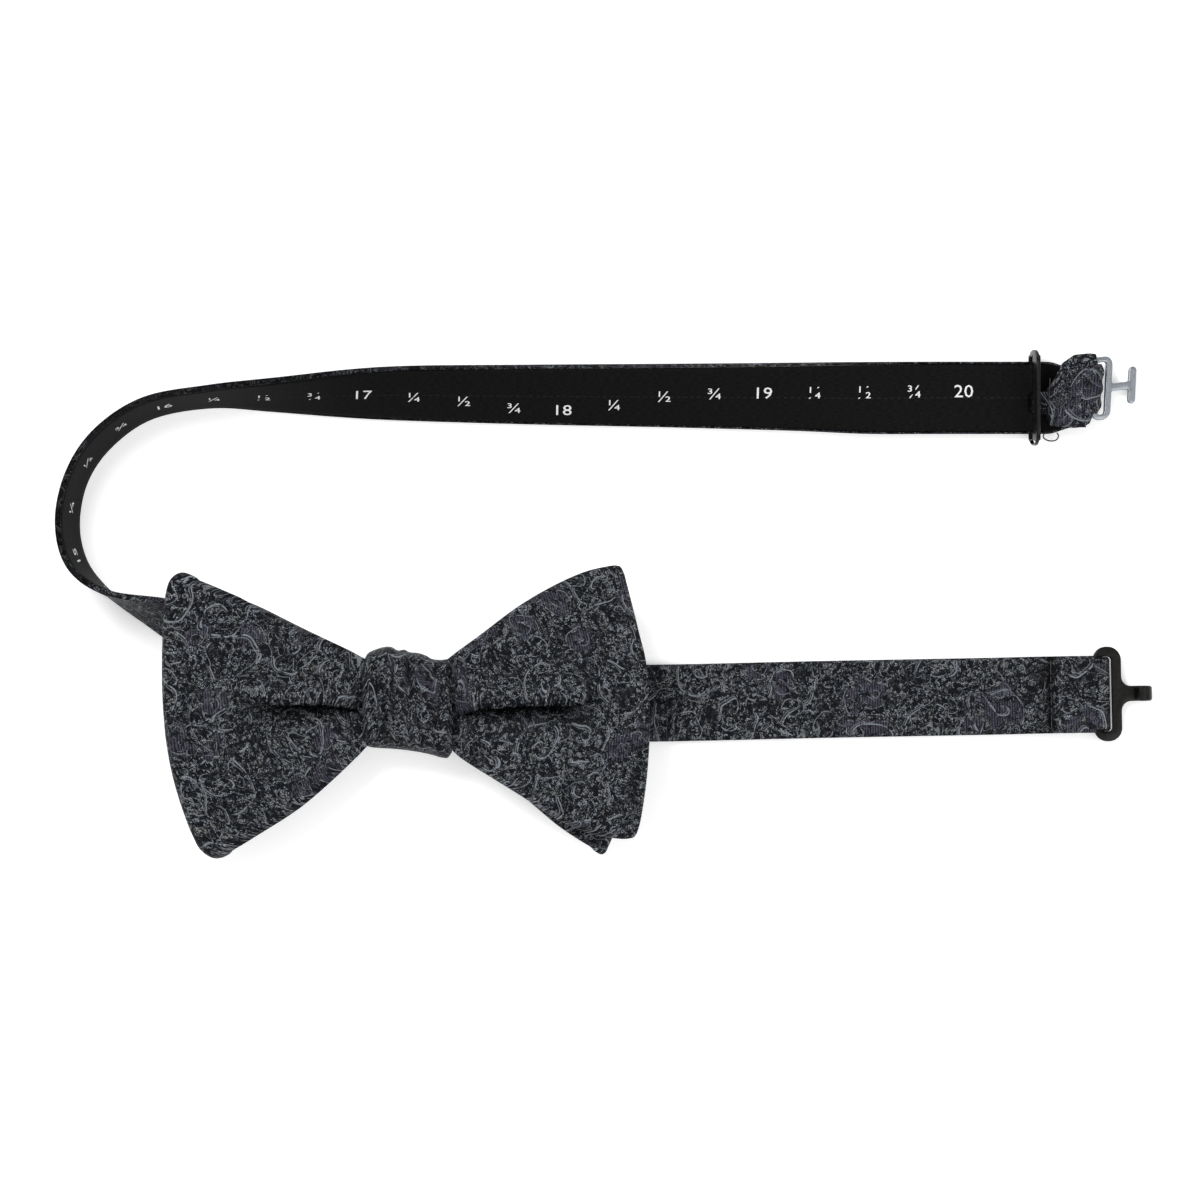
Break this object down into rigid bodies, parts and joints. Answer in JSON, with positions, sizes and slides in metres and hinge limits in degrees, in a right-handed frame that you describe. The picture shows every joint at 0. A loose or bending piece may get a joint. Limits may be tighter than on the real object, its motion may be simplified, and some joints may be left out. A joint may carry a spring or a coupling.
{
  "type": "adjustable self-tie bow tie",
  "caption": "Tied adjustable bow tie in patterned cloth, laid on its back, with a sized neck band, slider, T-hook and ring hook.",
  "frame": {"origin": "centre of the flat back of the knot, on the surface that the tie lies on", "axes": "+X runs along the bands to the metal fittings, +Y from the bow to the band that is looped back, +Z out of the front of the bow"},
  "size_m": [0.2801, 0.1282, 0.0273],
  "materials": {
    "face_cloth": "silk jacquard, black ground with silver-grey scrolls",
    "lining": "black woven satin tape",
    "interlining": "raw canvas",
    "thread": "sewing thread",
    "black_metal": "black lacquered, semi-gloss",
    "nickel": "satin nickel"
  },
  "bodies": {
    "tie": {"front_left_loop": "face_cloth", "front_left_loop_interlining": "interlining", "front_right_end": "face_cloth", "front_right_end_interlining": "interlining", "rear_right_loop": "face_cloth", "rear_right_loop_interlining": "interlining", "rear_left_end": "face_cloth", "rear_left_end_interlining": "interlining", "knot_wrap": "face_cloth", "knot_core": "face_cloth", "long_band_face": "face_cloth", "long_band_interlining": "interlining", "size_tape": "lining", "fold_lower_run": "lining", "short_band_face": "face_cloth", "short_band_interlining": "interlining", "short_band_lining": "lining", "short_band_fold": "face_cloth", "short_band_hem_stitches": "thread"},
    "fold_carriage": {"long_band_fold": "face_cloth", "fold_return_run": "face_cloth"},
    "slider_carriage": {"slider_tab": "face_cloth", "slider_tab_stitches": "thread", "loose_thread_loop": "thread"},
    "slider_plate": {"slider": "black_metal"},
    "t_hook": {"t_hook": "nickel"},
    "ring_hook": {"ring_hook": "black_metal"}
  },
  "joints": [
    {"name": "fold_travel", "type": "slide", "parent": "tie", "child": "fold_carriage", "axis": [-1, 0, 0], "range_m": [0, 0.008], "deforming": ["fold_lower_run"]},
    {"name": "slider_travel", "type": "slide", "parent": "fold_carriage", "child": "slider_carriage", "axis": [-1, 0, 0], "range_m": [0, 0.008], "deforming": ["fold_return_run"]},
    {"name": "slider_tilt", "type": "hinge", "parent": "slider_carriage", "child": "slider_plate", "pos_m": [0.1594, 0.0773, 0.0061], "axis": [0, 1, 0], "range_deg": [-16, 2]},
    {"name": "t_hook_swing", "type": "hinge", "parent": "fold_carriage", "child": "t_hook", "pos_m": [0.1738, 0.0794, 0.0046], "axis": [0.1132, -0.9936, 0], "range_deg": [0, 60]},
    {"name": "ring_hook_swing", "type": "hinge", "parent": "tie", "child": "ring_hook", "pos_m": [0.1753, 0.00195, 0.003], "axis": [0.0209, -0.9998, 0], "range_deg": [0, 60]}
  ],
  "couplings": [
    {"joint": "slider_travel", "follows": "fold_travel", "ratio": 1}
  ]
}
